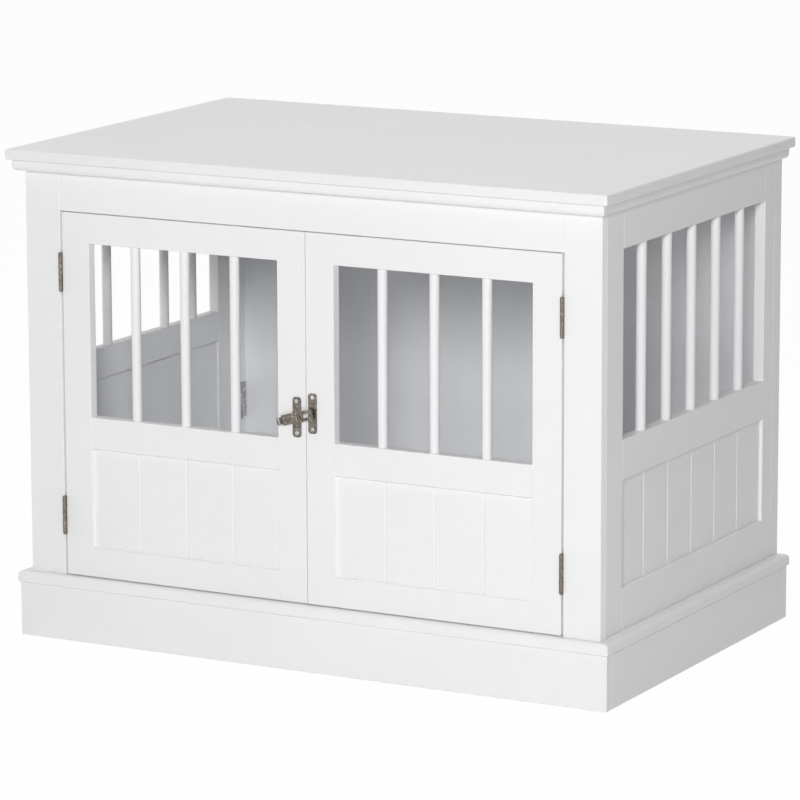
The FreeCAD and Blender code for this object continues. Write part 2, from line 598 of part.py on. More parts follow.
frame_screws, wall_screws, door_screws = [], [], {"left": [], "right": []}
for side, sign, turn in (("left", "-", 90), ("right", "", -90)):
    inward = "-" if sign else "+"
    outward = "+" if sign else "-"
    for shift in ("- screw_spread", "+ screw_spread"):
        for level in HINGES:
            y = f"{HINGE_Y} + {DOOR_SCREW}"
            frame_screws.append((f"{sign}{HINGE_X} {inward} {LEAF_FACE}", y, f"{level} {shift}",
                                 turn, Y_AXIS))
            door_screws[side].append((f"{sign}{HINGE_X} {outward} {LEAF_FACE}", y,
                                      f"{level} {shift}", -turn, Y_AXIS))
        for level in FOLDS:
            for toward in "+-":
                wall_screws.append((f"{sign}{FOLD_X} {inward} {FOLD_FACE}",
                                    f"{FOLD_Y} {toward} {FOLD_SCREW}", f"{level} {shift}",
                                    turn, Y_AXIS))
node(copies("carcass_screws", flat_screw, frame_screws + wall_screws), "carcass_screws")
PLATE_LEVELS = ("+ plate_screw", "- plate_screw")
PLATE_Y = f"{FRONT} - plate_thick"
for side, plate_x, plate_z in (("left", "-latch_x", LATCH_Z), ("right", "catch_x", CATCH_Z)):
    name = f"{side}_door_screws"
    node(doc.addObject("Part::Compound", name), name).Links = [
        copies("leaf_screws", flat_screw, door_screws[side]),
        copies("plate_screws", round_screw,
               [(plate_x, PLATE_Y, f"{plate_z} {shift}", 90, X_AXIS) for shift in PLATE_LEVELS])]

# Pilot holes.
SCREW_V = f"{DOOR_SCREW} - hinge_stand"
for shift in ("- screw_spread", "+ screw_spread"):
    for level in HINGES:
        up_frame = f"{level} - {STAND} {shift}"
        up_door = f"{level} - {DOOR_BASE} {shift}"
        pilot(left_post, ("post_width - screw_long", SCREW_V, up_frame), Y_AXIS, 90)
        pilot(right_post, ("0", SCREW_V, up_frame), Y_AXIS, 90)
        pilot(left_door["hinge_stile"], ("0", SCREW_V, up_door), Y_AXIS, 90)
        pilot(right_door["hinge_stile"], ("door_stile - screw_long", SCREW_V, up_door), Y_AXIS, 90)
    for level in FOLDS:
        up = f"{level} - {STAND} {shift}"
        pilot(left_rear, ("board - screw_long", FOLD_SCREW, up), Y_AXIS, 90)
        pilot(right_rear, ("0", FOLD_SCREW, up), Y_AXIS, 90)
        pilot(left_stiles["rear_stile"], (FOLD_SCREW, "board - screw_long", up), X_AXIS, -90)
        pilot(right_stiles["rear_stile"], (f"side_rear - {FOLD_SCREW}", "board - screw_long", up),
              X_AXIS, -90)
for shift in PLATE_LEVELS:
    pilot(left_door["meeting_stile"],
          ("door_stile + meet_gap/2 - latch_x", "0", f"{LATCH_Z} - {DOOR_BASE} {shift}"), X_AXIS, -90)
    pilot(right_door["meeting_stile"],
          ("catch_x - meet_gap/2", "0", f"{CATCH_Z} - {DOOR_BASE} {shift}"), X_AXIS, -90)

# Latch: s runs from the latch plate to the catch plate along X, outwards is -Y.
rise = sheet.get("catch_rise") - sheet.get("latch_rise")
run = sheet.get("catch_x") + sheet.get("latch_x")
TILT = -math.degrees(math.atan2(rise, run))
EYE_ROOM = "(eye_round + 3*latch_gap)"

pivot = fuse("pivot", [
    box("tongue", ("bail_along - lug_round", "-plate_thick - leaf_thick", "-eye_half"),
        "axle_along - bail_along + lug_round", "leaf_thick + plate_thick/2", "2*eye_half"),
    rod("plate_eye", ("axle_along", "-axle_off", "-eye_half"), "eye_round", "2*eye_half"),
    rod("axle", ("axle_along", "-axle_off", "-axle_long/2"), "axle_round", "axle_long")])
put(pivot, "0", "0", "0", TILT, Y_AXIS)
node(put(fuse("latch_base_plate", [face_plate("latch_plate"), pivot]),
         "-latch_x", FRONT, LATCH_Z), "latch_base_plate")

hook = fuse("hook", [
    box("stem", ("hook_face - hook_thick", "-hook_off - hook_lip", "-hook_half"),
        "hook_thick", "hook_off + hook_lip - plate_thick/2", "2*hook_half"),
    box("lip", ("hook_face - hook_thick", "-hook_off - hook_lip", "-hook_half"),
        "hook_thick + hook_reach", "hook_lip", "2*hook_half"),
    rod("stud", ("stud_along", "-plate_thick/2", "0"), "stud_round", "stud_rise + plate_thick/2",
        90, X_AXIS)])
put(hook, "0", "0", "0", TILT, Y_AXIS)
node(put(fuse("catch_plate", [face_plate("catch_back"), hook]), "catch_x", FRONT, CATCH_Z),
     "catch_plate")

lever_solid = fuse("lever_solid", [
    box("handle", ("-handle_along", f"-{LINE} - lever_thick", "-lever_tall/2"),
        "handle_along + axle_along", "lever_thick", "lever_tall"),
    box("tongue", ("-finger_along", f"-{LINE} - lever_thick", "-finger_tall/2"),
        "finger_along", "lever_thick", "finger_tall"),
    rod("lever_eye", ("axle_along", "-axle_off", "-lever_tall/2"), "eye_round", "lever_tall"),
    rod("curl", ("-finger_along", "-finger_off", "-finger_tall/2"), "finger_round", "finger_tall"),
    box("lug", ("bail_along - lug_round", "-bail_off", "-lug_half"),
        "2*lug_round", "bail_off - axle_off", "2*lug_half"),
    rod("lug_end", ("bail_along", "-bail_off", "-lug_half"), "lug_round", "2*lug_half")])
lever_room = fuse("lever_room", [
    box("notch", (f"axle_along - {EYE_ROOM}", "-axle_off*2", "-eye_half - latch_gap"),
        f"2*{EYE_ROOM}", "axle_off*2", "2*(eye_half + latch_gap)"),
    rod("axle_bore", ("axle_along", "-axle_off", "-lever_tall"), "axle_round + pin_fit",
        "2*lever_tall")])
bail_hole = rod("bail_hole", ("bail_along", "-bail_off", "-lever_tall"), "bail_pin + pin_fit",
                "2*lever_tall")
lever = cut("latch_lever", cut("lever_open", lever_solid, lever_room), bail_hole)
node(put(lever, "-latch_x", FRONT, LATCH_Z, TILT, Y_AXIS), "latch_lever")

loop = fuse("loop", [
    box("strap", ("0", "-bail_thick/2", "-bail_tall/2"), "bail_long - bail_round", "bail_thick",
        "bail_tall"),
    box("bar", ("0", "-bail_thick/2", "bail_round - bail_tall/2"), "bail_long", "bail_thick",
        "bail_tall - 2*bail_round"),
    rod("corner", ("bail_long - bail_round", "bail_thick/2", "bail_tall/2 - bail_round"),
        "bail_round", "bail_thick", 90, X_AXIS),
    rod("corner", ("bail_long - bail_round", "bail_thick/2", "bail_round - bail_tall/2"),
        "bail_round", "bail_thick", 90, X_AXIS),
    rod("bail_eyes", ("0", "0", "-bail_tall/2"), "bail_eye", "bail_tall")])
slots = fuse("slots", [
    box("lug_slot", ("-2*bail_eye", "-bail_eye*2", "-bail_slot/2"),
        "2*bail_eye + lug_round + 2*latch_gap", "bail_eye*4", "bail_slot"),
    box("slot", ("bail_web", "-bail_thick*2", "-bail_slot/2"),
        "bail_long - bail_bar - bail_web", "bail_thick*4", "bail_slot")])
bail = fuse("bail", [cut("bail_loop", loop, slots),
                     rod("bail_axle", ("0", "0", "-bail_tall/2"), "bail_pin", "bail_tall")])
node(put(copies("latch_bail", bail, [("bail_along", "-bail_off", "0", sheet.get("bail_lean"))]),
         "-latch_x", FRONT, LATCH_Z, TILT, Y_AXIS), "latch_bail")

doc.recompute()
for item in doc.Objects:
    if "Invalid" in item.State or "Error" in item.State:
        raise RuntimeError(f"{item.Label} did not compute: {item.State}")
for piece in nodes:
    if piece.Shape.isNull() or not piece.Shape.isValid():
        raise RuntimeError(f"{piece.Label} has no valid shape")

os.makedirs("parts", exist_ok=True)
for piece in nodes:
    piece.Shape.exportStep(f"parts/{piece.Label}.step")
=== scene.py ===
"""White dog crate end table: paints, turned bars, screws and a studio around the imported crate."""

import json
import math

import bmesh
import bpy
from mathutils import Matrix, Vector

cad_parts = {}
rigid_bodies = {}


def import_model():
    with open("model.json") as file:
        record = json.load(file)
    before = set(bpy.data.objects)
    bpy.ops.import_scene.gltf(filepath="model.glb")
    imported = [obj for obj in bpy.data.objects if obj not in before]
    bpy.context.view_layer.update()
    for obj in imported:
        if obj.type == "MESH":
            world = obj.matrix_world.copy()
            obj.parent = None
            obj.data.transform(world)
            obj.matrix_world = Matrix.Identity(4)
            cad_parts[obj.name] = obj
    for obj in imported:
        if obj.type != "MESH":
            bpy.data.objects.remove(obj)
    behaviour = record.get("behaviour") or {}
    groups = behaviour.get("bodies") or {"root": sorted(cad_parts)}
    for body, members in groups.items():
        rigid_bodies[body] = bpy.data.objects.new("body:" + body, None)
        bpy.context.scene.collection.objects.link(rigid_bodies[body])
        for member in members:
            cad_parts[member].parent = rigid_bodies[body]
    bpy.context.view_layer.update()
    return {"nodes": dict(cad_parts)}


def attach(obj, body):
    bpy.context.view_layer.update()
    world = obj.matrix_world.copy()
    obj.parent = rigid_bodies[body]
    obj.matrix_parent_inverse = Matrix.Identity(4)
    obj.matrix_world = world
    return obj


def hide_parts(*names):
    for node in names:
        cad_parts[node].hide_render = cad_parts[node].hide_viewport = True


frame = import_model()

bl_info = {
    "name": "Dog crate end table",
    "version": (1, 0, 0),
    "blender": (4, 5, 0),
    "location": "View3D > Sidebar > Crate",
    "description": "Paints, bars, screws and studio for a dog crate end table",
    "category": "Object",
}

SPINDLE_NODES = {
    "carcass": ("left_spindles", "right_spindles"),
    "left_door": ("left_door_spindles",),
    "right_door": ("right_door_spindles",),
}
SCREW_NODES = {
    "carcass": "carcass_screws",
    "left_door": "left_door_screws",
    "right_door": "right_door_screws",
}
HINGE_NODES = (
    "frame_hinge_leaves", "hinge_pins", "left_door_hinge_leaves", "right_door_hinge_leaves",
)
LATCH_NODES = ("latch_base_plate", "catch_plate", "latch_lever", "latch_bail")

# Metres from the middle of the crate to the inner faces of the side frames, less their recesses
INNER_REACH = 0.386
# How the paint was stroked: noise is squeezed along the axis with the small number
ALONG_X = (0.12, 1.0, 1.0)
ALONG_Y = (1.0, 0.12, 1.0)
ALONG_Z = (1.0, 1.0, 0.12)
ROUND_X_AND_Y = (0.12, 0.12, 1.0)
BAR_STROKES = (1.0, 1.0, 0.08)

# Screws, in metres: those longer than LONG_SCREW have a raised head
LONG_SCREW = 0.0105
HEAD_ZONE = 0.0022
RAISED_HEAD = 0.0009
CROSS_DEPTH = 0.0006
CROSS_SHARE = 0.62

# Camera, fitted to the photograph: place in metres, turns in radians, focal length in pixels
CAMERA_PLACE = (2.89595, -5.38519, 1.53498)
CAMERA_YAW, CAMERA_PITCH, CAMERA_ROLL = 0.49426, -0.19738, -0.00335
FOCAL_PIXELS = 4650.54
PICTURE_PIXELS = 800
SENSOR = 36.0
FLOOR_REACH = 14.0


class CrateSizes(bpy.types.PropertyGroup):
    """Sizes of the pieces that are made here."""

    bar_sides: bpy.props.IntProperty(
        name="Bar sides", description="Faces around each turned bar", default=40, min=12)
    bar_counts_side: bpy.props.IntProperty(
        name="Bars in a side", description="Turned bars in each side frame", default=5, min=1)
    bar_counts_door: bpy.props.IntProperty(
        name="Bars in a door", description="Turned bars in each door", default=3, min=1)
    bar_collar: bpy.props.FloatProperty(
        name="Paint collar", description="Paint that has gathered where a bar meets a rail",
        default=0.0007, unit="LENGTH")
    bar_seat: bpy.props.FloatProperty(
        name="Bar seat", description="Length of a bar hidden in each rail", default=0.008,
        unit="LENGTH")
    screw_head: bpy.props.FloatProperty(
        name="Screw head", description="Radius of the screw heads", default=0.0026, unit="LENGTH")
    screw_sides: bpy.props.IntProperty(
        name="Screw sides", description="Faces around each screw head", default=24, min=12)
    screw_seed: bpy.props.IntProperty(
        name="Screw seed", description="Fixes how far each screw is turned", default=7)
    edge_round: bpy.props.FloatProperty(
        name="Edge rounding", description="Radius that the paint gives to sharp edges",
        default=0.0005, unit="LENGTH")


class CrateFinish(bpy.types.PropertyGroup):
    """Colours of the crate."""

    paint: bpy.props.FloatVectorProperty(
        name="Paint", description="Satin white of the frame", subtype="COLOR", size=3,
        default=(0.82, 0.82, 0.82), min=0, max=1)
    paint_top: bpy.props.FloatVectorProperty(
        name="Top paint", description="Satin white of the table top", subtype="COLOR", size=3,
        default=(0.80, 0.80, 0.80), min=0, max=1)
    # Partly the sheet's own cooler tint, partly painted light: the white is lifted well above the
    # frame's to stand in for light inside the crate.
    back_tint_and_painted_light: bpy.props.FloatVectorProperty(
        name="Back paint", description="Cooler white of the back sheet and floor",
        subtype="COLOR", size=3, default=(0.93, 0.94, 0.965), min=0, max=1)
    # Painted light: a lighter white on the edge faces of the doors and front frame, standing in for
    # light in the narrow gaps between them.
    painted_edge_light: bpy.props.FloatVectorProperty(
        name="Edge paint", description="Thicker white on the edges of the doors and their frame",
        subtype="COLOR", size=3, default=(0.95, 0.95, 0.95), min=0, max=1)
    # Painted light: a lighter white on the inner faces of the side frames, standing in for light
    # inside the crate.
    painted_inside_light: bpy.props.FloatVectorProperty(
        name="Inside paint", description="Unworn white on the inner faces of the side frames",
        subtype="COLOR", size=3, default=(0.92, 0.93, 0.955), min=0, max=1)
    primer: bpy.props.FloatVectorProperty(
        name="Primer", description="Thin white on the hidden strips", subtype="COLOR", size=3,
        default=(0.66, 0.63, 0.58), min=0, max=1)
    board: bpy.props.FloatVectorProperty(
        name="Board", description="Fibreboard that shows through worn edges", subtype="COLOR",
        size=3, default=(0.56, 0.47, 0.38), min=0, max=1)
    # Painted reflection: the nickel is much darker than real plate, standing in for dark
    # surroundings reflected in the metal.
    nickel_with_dark_reflection: bpy.props.FloatVectorProperty(
        name="Nickel", description="Satin plate of hinges and latch", subtype="COLOR", size=3,
        default=(0.205, 0.182, 0.158), min=0, max=1)
    zinc: bpy.props.FloatVectorProperty(
        name="Zinc", description="Bright plate of the screws", subtype="COLOR", size=3,
        default=(0.56, 0.56, 0.555), min=0, max=1)
    floor: bpy.props.FloatVectorProperty(
        name="Floor", description="Studio floor", subtype="COLOR", size=3,
        default=(0.93, 0.93, 0.935), min=0, max=1)


class CrateStudio(bpy.types.PropertyGroup):
    """Light around the crate."""

    ambient: bpy.props.FloatProperty(
        name="Ambient", description="Strength of the even light", default=0.18, min=0)
    key: bpy.props.FloatProperty(
        name="Key", description="Power of the light from the right front", default=115, min=0)
    overhead: bpy.props.FloatProperty(
        name="Overhead", description="Power of the light above", default=54, min=0)
    side: bpy.props.FloatProperty(
        name="Side", description="Power of the light from the left", default=24, min=0)
    floor_glow: bpy.props.FloatProperty(
        name="Floor glow", description="Share of plain white in the floor as the camera sees it",
        default=0.97, min=0, max=1)


# Materials

class Surface:
    """A material under construction, with short calls for its nodes."""

    def __init__(self, name):
        self.material = bpy.data.materials.new(name)
        self.material.use_nodes = True
        self.tree = self.material.node_tree
        self.shader = self.tree.nodes["Principled BSDF"]
        self.place = self.add("ShaderNodeTexCoord").outputs["Object"]

    def add(self, kind, **settings):
        node = self.tree.nodes.new(kind)
        for key, value in settings.items():
            setattr(node, key, value)
        return node

    def join(self, source, target):
        self.tree.links.new(source, target)

    def stretched(self, scale):
        """Object coordinates squeezed along one or more axes."""
        mapping = self.add("ShaderNodeMapping")
        mapping.inputs["Scale"].default_value = scale
        self.join(self.place, mapping.inputs["Vector"])
        return mapping.outputs["Vector"]

    def noise(self, scale, detail=2.0, vector=None, roughness=0.5):
        """Noise in Object coordinates, or in the vector given."""
        node = self.add("ShaderNodeTexNoise")
        node.inputs["Scale"].default_value = scale
        node.inputs["Detail"].default_value = detail
        node.inputs["Roughness"].default_value = roughness
        self.join(vector or self.place, node.inputs["Vector"])
        return node.outputs["Fac"]

    def spread(self, value, low, high, to_low, to_high):
        """A value eased from one range to another."""
        node = self.add("ShaderNodeMapRange", clamp=True)
        node.interpolation_type = "SMOOTHSTEP"
        for name, number in (("From Min", low), ("From Max", high), ("To Min", to_low),
                             ("To Max", to_high)):
            node.inputs[name].default_value = number
        self.join(value, node.inputs["Value"])
        return node.outputs["Result"]

    def calculate(self, kind, first, second):
        """A math node on a socket and a number or another socket."""
        node = self.add("ShaderNodeMath", operation=kind)
        self.join(first, node.inputs[0])
        if isinstance(second, float):
            node.inputs[1].default_value = second
        else:
            self.join(second, node.inputs[1])
        return node.outputs[0]

    def blend(self, share, first, second):
        """A colour between two colours or sockets."""
        node = self.add("ShaderNodeMix", data_type="RGBA")
        self.join(share, node.inputs["Factor"])
        for socket, colour in ((node.inputs[6], first), (node.inputs[7], second)):
            if isinstance(colour, tuple):
                socket.default_value = colour
            else:
                self.join(colour, socket)
        return node.outputs[2]

    def rough(self, value):
        self.join(value, self.shader.inputs["Roughness"])

    def colour(self, value):
        self.join(value, self.shader.inputs["Base Color"])

    def inward(self, reach):
        """1 on the faces of the side frames that look into the crate, 0 elsewhere."""
        out = self.add("ShaderNodeTexCoord").outputs["Normal"]
        sides = [self.add("ShaderNodeSeparateXYZ") for _ in range(2)]
        self.join(self.place, sides[0].inputs[0])
        self.join(out, sides[1].inputs[0])
        facing = self.calculate("MULTIPLY", sides[0].outputs["X"], sides[1].outputs["X"])
        return self.spread(facing, -reach, 0.004 - reach, 1.0, 0.0)

    def upended(self):
        """1 on the faces that look neither to the front nor to the back, 0 elsewhere."""
        out = self.add("ShaderNodeSeparateXYZ")
        self.join(self.add("ShaderNodeTexCoord").outputs["Normal"], out.inputs[0])
        size = self.calculate("ABSOLUTE", out.outputs["Y"], 0.0)
        return self.spread(size, 0.3, 0.5, 1.0, 0.0)

    def rounding(self, radius):
        """The normal with sharp edges rounded, and how near an edge a point is."""
        bevel = self.add("ShaderNodeBevel", samples=6)
        bevel.inputs["Radius"].default_value = radius
        facing = self.add("ShaderNodeNewGeometry").outputs["Normal"]
        dot = self.add("ShaderNodeVectorMath", operation="DOT_PRODUCT")
        self.join(bevel.outputs["Normal"], dot.inputs[0])
        self.join(facing, dot.inputs[1])
        edge = self.spread(dot.outputs["Value"], 0.80, 0.995, 1.0, 0.0)
        return bevel.outputs["Normal"], edge

    def relief(self, layers, normal=None):
        """Bump layers, each (height, strength, distance), one on top of the other."""
        for height, strength, distance in layers:
            bump = self.add("ShaderNodeBump")
            bump.inputs["Strength"].default_value = strength
            bump.inputs["Distance"].default_value = distance
            self.join(height, bump.inputs["Height"])
            if normal is not None:
                self.join(normal, bump.inputs["Normal"])
            normal = bump.outputs["Normal"]
        self.join(normal, self.shader.inputs["Normal"])


def shade(colour, factor):
    """A colour with alpha, made lighter or darker."""
    return tuple(min(1.0, channel * factor) for channel in colour) + (1.0,)


def satin_paint(name, colour, board, along, edge_round, wear=0.16, inside=None, edges=None):
    """Sprayed satin paint on board: faint roller stipple, strokes along the grain, worn edges.

    The faces that look into the crate, and the cut edges, get lighter colours of their own: painted
    light standing in for light that reaches inside the crate and into the gaps.
    """
    paint = Surface(name)
    shader = paint.shader
    shader.inputs["Specular IOR Level"].default_value = 0.42
    shader.inputs["Coat Weight"].default_value = 0.12
    shader.inputs["Coat Roughness"].default_value = 0.28

    drift = paint.spread(paint.noise(3.2, 3.0), 0.35, 0.65, 0.0, 1.0)
    cloud = paint.spread(paint.noise(38.0, 4.0), 0.30, 0.70, 0.0, 1.0)
    tone = paint.blend(drift, shade(colour, 0.985), shade(colour, 1.008))
    tone = paint.blend(paint.calculate("MULTIPLY", cloud, 0.35), tone, shade(colour, 0.972))
    # Painted light: faces that look neither front nor back, mostly edges in the gaps, get a lighter
    # white standing in for light reaching into the gaps.
    if edges:
        tone = paint.blend(paint.upended(), tone, shade(edges, 1.0))
    # Painted light: the inner faces of the side frames get a lighter white that stands in for light
    # inside the crate.
    if inside:
        tone = paint.blend(paint.inward(INNER_REACH), tone, shade(inside, 1.0))
    normal, edge = paint.rounding(edge_round)
    chips = paint.spread(paint.noise(240.0, 5.0, roughness=0.65), 0.56, 0.72, 0.0, 1.0)
    worn = paint.calculate("MULTIPLY", paint.calculate("MULTIPLY", edge, chips), wear)
    paint.colour(paint.blend(worn, tone, shade(board, 1.0)))

    smear = paint.noise(26.0, 3.0, paint.stretched(along))
    sheen = paint.calculate("ADD", paint.spread(smear, 0.3, 0.7, 0.0, 0.07),
                      paint.spread(paint.noise(420.0, 2.0), 0.3, 0.7, 0.33, 0.41))
    paint.rough(sheen)
    paint.relief((
        (paint.noise(70.0, 2.0, paint.stretched(along)), 0.10, 0.00025),
        (paint.noise(900.0, 2.0), 0.11, 0.00010),
        (paint.noise(2600.0, 1.0), 0.06, 0.00004),
    ), normal)
    return paint.material


def back_paint(name, colour):
    """Thin paint on hardboard: a flatter, slightly mottled face with a fine pressed texture."""
    sheet = Surface(name)
    sheet.shader.inputs["Specular IOR Level"].default_value = 0.3
    mottle = sheet.spread(sheet.noise(14.0, 5.0, roughness=0.6), 0.3, 0.7, 0.0, 1.0)
    fibre = sheet.spread(sheet.noise(160.0, 4.0, sheet.stretched((1.0, 1.0, 0.25))),
                         0.3, 0.7, 0.0, 1.0)
    tone = sheet.blend(mottle, shade(colour, 0.975), shade(colour, 1.02))
    sheet.colour(sheet.blend(sheet.calculate("MULTIPLY", fibre, 0.25), tone, shade(colour, 0.955)))
    sheet.rough(sheet.spread(sheet.noise(90.0, 3.0), 0.3, 0.7, 0.50, 0.62))
    sheet.relief((
        (sheet.noise(480.0, 3.0), 0.16, 0.00018),
        (sheet.noise(1900.0, 1.0), 0.08, 0.00006),
    ))
    return sheet.material


def primed_wood(name, colour):
    """Softwood strip under thin primer: the grain still shows."""
    wood = Surface(name)
    wood.shader.inputs["Specular IOR Level"].default_value = 0.25
    grain = wood.noise(30.0, 6.0, wood.stretched((0.08, 1.0, 1.0)), 0.62)
    pores = wood.noise(420.0, 3.0, wood.stretched((0.05, 1.0, 1.0)))
    tone = wood.blend(wood.spread(grain, 0.35, 0.65, 0.0, 1.0),
                      shade(colour, 0.86), shade(colour, 1.1))
    wood.colour(wood.blend(wood.spread(pores, 0.58, 0.72, 0.0, 0.35), tone, shade(colour, 0.7)))
    wood.rough(wood.spread(grain, 0.3, 0.7, 0.62, 0.78))
    wood.relief(((grain, 0.25, 0.0003), (pores, 0.2, 0.00012)))
    return wood.material


def plated(name, colour, low, high, brushed, edge_round):
    """Plated steel: fine brushing, cloudy sheen, glints, a painted highlight along the edges, grime
    in the pits.
    """
    metal = Surface(name)
    metal.shader.inputs["Metallic"].default_value = 1.0
    clouds = metal.spread(metal.noise(210.0, 4.0), 0.3, 0.7, 0.0, 1.0)
    pits = metal.spread(metal.noise(1500.0, 3.0, roughness=0.7), 0.60, 0.74, 0.0, 1.0)
    glints = metal.spread(metal.noise(330.0, 2.0), 0.56, 0.70, 0.0, 1.0)
    normal, edge = metal.rounding(edge_round)
    tone = metal.blend(clouds, shade(colour, 0.68), shade(colour, 1.25))
    tone = metal.blend(metal.calculate("MULTIPLY", glints, 0.55), tone, shade(colour, 2.6))
    tone = metal.blend(metal.calculate("MULTIPLY", pits, 0.35), tone, shade(colour, 0.5))
    # Painted highlight: the edges get a much lighter colour that stands in for light caught on the
    # rounded rims.
    metal.colour(metal.blend(metal.calculate("MULTIPLY", edge, 0.5), tone, shade(colour, 2.4)))
    lines = metal.noise(2400.0, 2.0, metal.stretched(brushed))
    metal.rough(metal.calculate("ADD", metal.spread(clouds, 0.0, 1.0, low, high),
                          metal.spread(lines, 0.3, 0.7, 0.0, 0.10)))
    metal.relief(((lines, 0.10, 0.00003), (pits, 0.12, 0.00004)), normal)
    return metal.material


def dress(names, material):
    """Give carried-over nodes a material of their own."""
    for name in names:
        mesh = frame["nodes"][name].data
        mesh.materials.clear()
        mesh.materials.append(material)


def solids(name):
    """Centre, low corner, high corner and vertices of each separate solid in a node."""
    sheet = bmesh.new()
    sheet.from_mesh(frame["nodes"][name].data)
    bmesh.ops.remove_doubles(sheet, verts=sheet.verts, dist=1e-6)
    left, found = set(sheet.verts), []
    while left:
        group, edge = set(), [left.pop()]
        while edge:
            vert = edge.pop()
            if vert in group:
                continue
            group.add(vert)
            left.discard(vert)
            edge.extend(link.other_vert(vert) for link in vert.link_edges)
        points = [vert.co.copy() for vert in group]
        low = Vector(map(min, *points))
        high = Vector(map(max, *points))
        found.append(((low + high) / 2, low, high, points))
    sheet.free()
    return found


# Geometry Nodes

class Tree:
    """A geometry node tree under construction, with named inputs."""

    def __init__(self, name, inputs):
        self.tree = bpy.data.node_groups.new(name, "GeometryNodeTree")
        sockets = self.tree.interface
        sockets.new_socket("Geometry", in_out="INPUT", socket_type="NodeSocketGeometry")
        self.ids = {}
        for label, kind in inputs.items():
            socket = sockets.new_socket(label, in_out="INPUT", socket_type=kind)
            self.ids[label] = socket.identifier
        sockets.new_socket("Geometry", in_out="OUTPUT", socket_type="NodeSocketGeometry")
        self.inputs = self.tree.nodes.new("NodeGroupInput").outputs
        self.output = self.tree.nodes.new("NodeGroupOutput").inputs[0]

    def add(self, kind, links=None, **settings):
        node = self.tree.nodes.new(kind)
        for key, value in settings.items():
            setattr(node, key, value)
        for key, value in (links or {}).items():
            if isinstance(value, bpy.types.NodeSocket):
                self.tree.links.new(value, node.inputs[key])
            else:
                node.inputs[key].default_value = value
        return node

    def end(self, geometry):
        """Realize the instances, set the material and close the tree."""
        real = self.add("GeometryNodeRealizeInstances", {"Geometry": geometry})
        painted = self.add("GeometryNodeSetMaterial", {
            "Geometry": real.outputs["Geometry"], "Material": self.inputs["Material"]})
        self.tree.links.new(painted.outputs["Geometry"], self.output)

    def grow(self, name, values, start=None):
        """Run the tree on a mesh and return its plain result as a new mesh."""
        carrier = bpy.data.objects.new(f"{name}_carrier", start or bpy.data.meshes.new(name))
        bpy.context.scene.collection.objects.link(carrier)
        modifier = carrier.modifiers.new("grow", "NODES")
        modifier.node_group = self.tree
        for label, value in values.items():
            modifier[self.ids[label]] = value
        graph = bpy.context.evaluated_depsgraph_get()
        mesh = bpy.data.meshes.new_from_object(
            carrier.evaluated_get(graph), preserve_all_data_layers=True, depsgraph=graph)
        carrier.modifiers.remove(modifier)
        bpy.data.objects.remove(carrier)
        mesh.name = name
        return mesh


def bar_tree():
    """A row of round bars with a paint collar at each visible end."""
    tree = Tree("turned_bars", {
        "Start": "NodeSocketVector", "Step": "NodeSocketVector", "Count": "NodeSocketInt",
        "Radius": "NodeSocketFloat", "Length": "NodeSocketFloat", "Seat": "NodeSocketFloat",
        "Collar": "NodeSocketFloat", "Sides": "NodeSocketInt", "Material": "NodeSocketMaterial"})
    given = tree.inputs
    bar = tree.add("GeometryNodeMeshCylinder", {
        "Vertices": given["Sides"], "Radius": given["Radius"], "Depth": given["Length"],
        "Side Segments": 24})
    half = tree.add("ShaderNodeMath", {0: given["Length"], 1: 0.5}, operation="MULTIPLY")
    level = tree.add("ShaderNodeMath", {0: half.outputs[0], 1: given["Seat"]},
                     operation="SUBTRACT")
    wide = tree.add("ShaderNodeMath", {0: given["Radius"], 1: given["Collar"]}, operation="ADD")
    collar = tree.add("GeometryNodeMeshCone", {
        "Vertices": given["Sides"], "Radius Top": given["Radius"],
        "Radius Bottom": wide.outputs[0], "Depth": given["Collar"], "Side Segments": 2})
    parts = [tree.add("GeometryNodeSetShadeSmooth", {
        "Geometry": bar.outputs["Mesh"], "Selection": bar.outputs["Side"]}).outputs[0]]
    for sign, turn in ((-1.0, 0.0), (1.0, math.pi)):
        up = tree.add("ShaderNodeMath", {0: level.outputs[0], 1: sign}, operation="MULTIPLY")
        spot = tree.add("ShaderNodeCombineXYZ", {"Z": up.outputs[0]})
        moved = tree.add("GeometryNodeTransform", {
            "Geometry": collar.outputs["Mesh"], "Translation": spot.outputs[0],
            "Rotation": (turn, 0.0, 0.0)})
        parts.append(tree.add("GeometryNodeSetShadeSmooth", {
            "Geometry": moved.outputs[0], "Selection": collar.outputs["Side"]}).outputs[0])
    whole = tree.add("GeometryNodeJoinGeometry")
    for part in reversed(parts):
        tree.tree.links.new(part, whole.inputs["Geometry"])
    line = tree.add("GeometryNodeMeshLine", {
        "Count": given["Count"], "Start Location": given["Start"], "Offset": given["Step"]})
    row = tree.add("GeometryNodeInstanceOnPoints", {
        "Points": line.outputs["Mesh"], "Instance": whole.outputs["Geometry"]})
    tree.end(row.outputs["Instances"])
    return tree


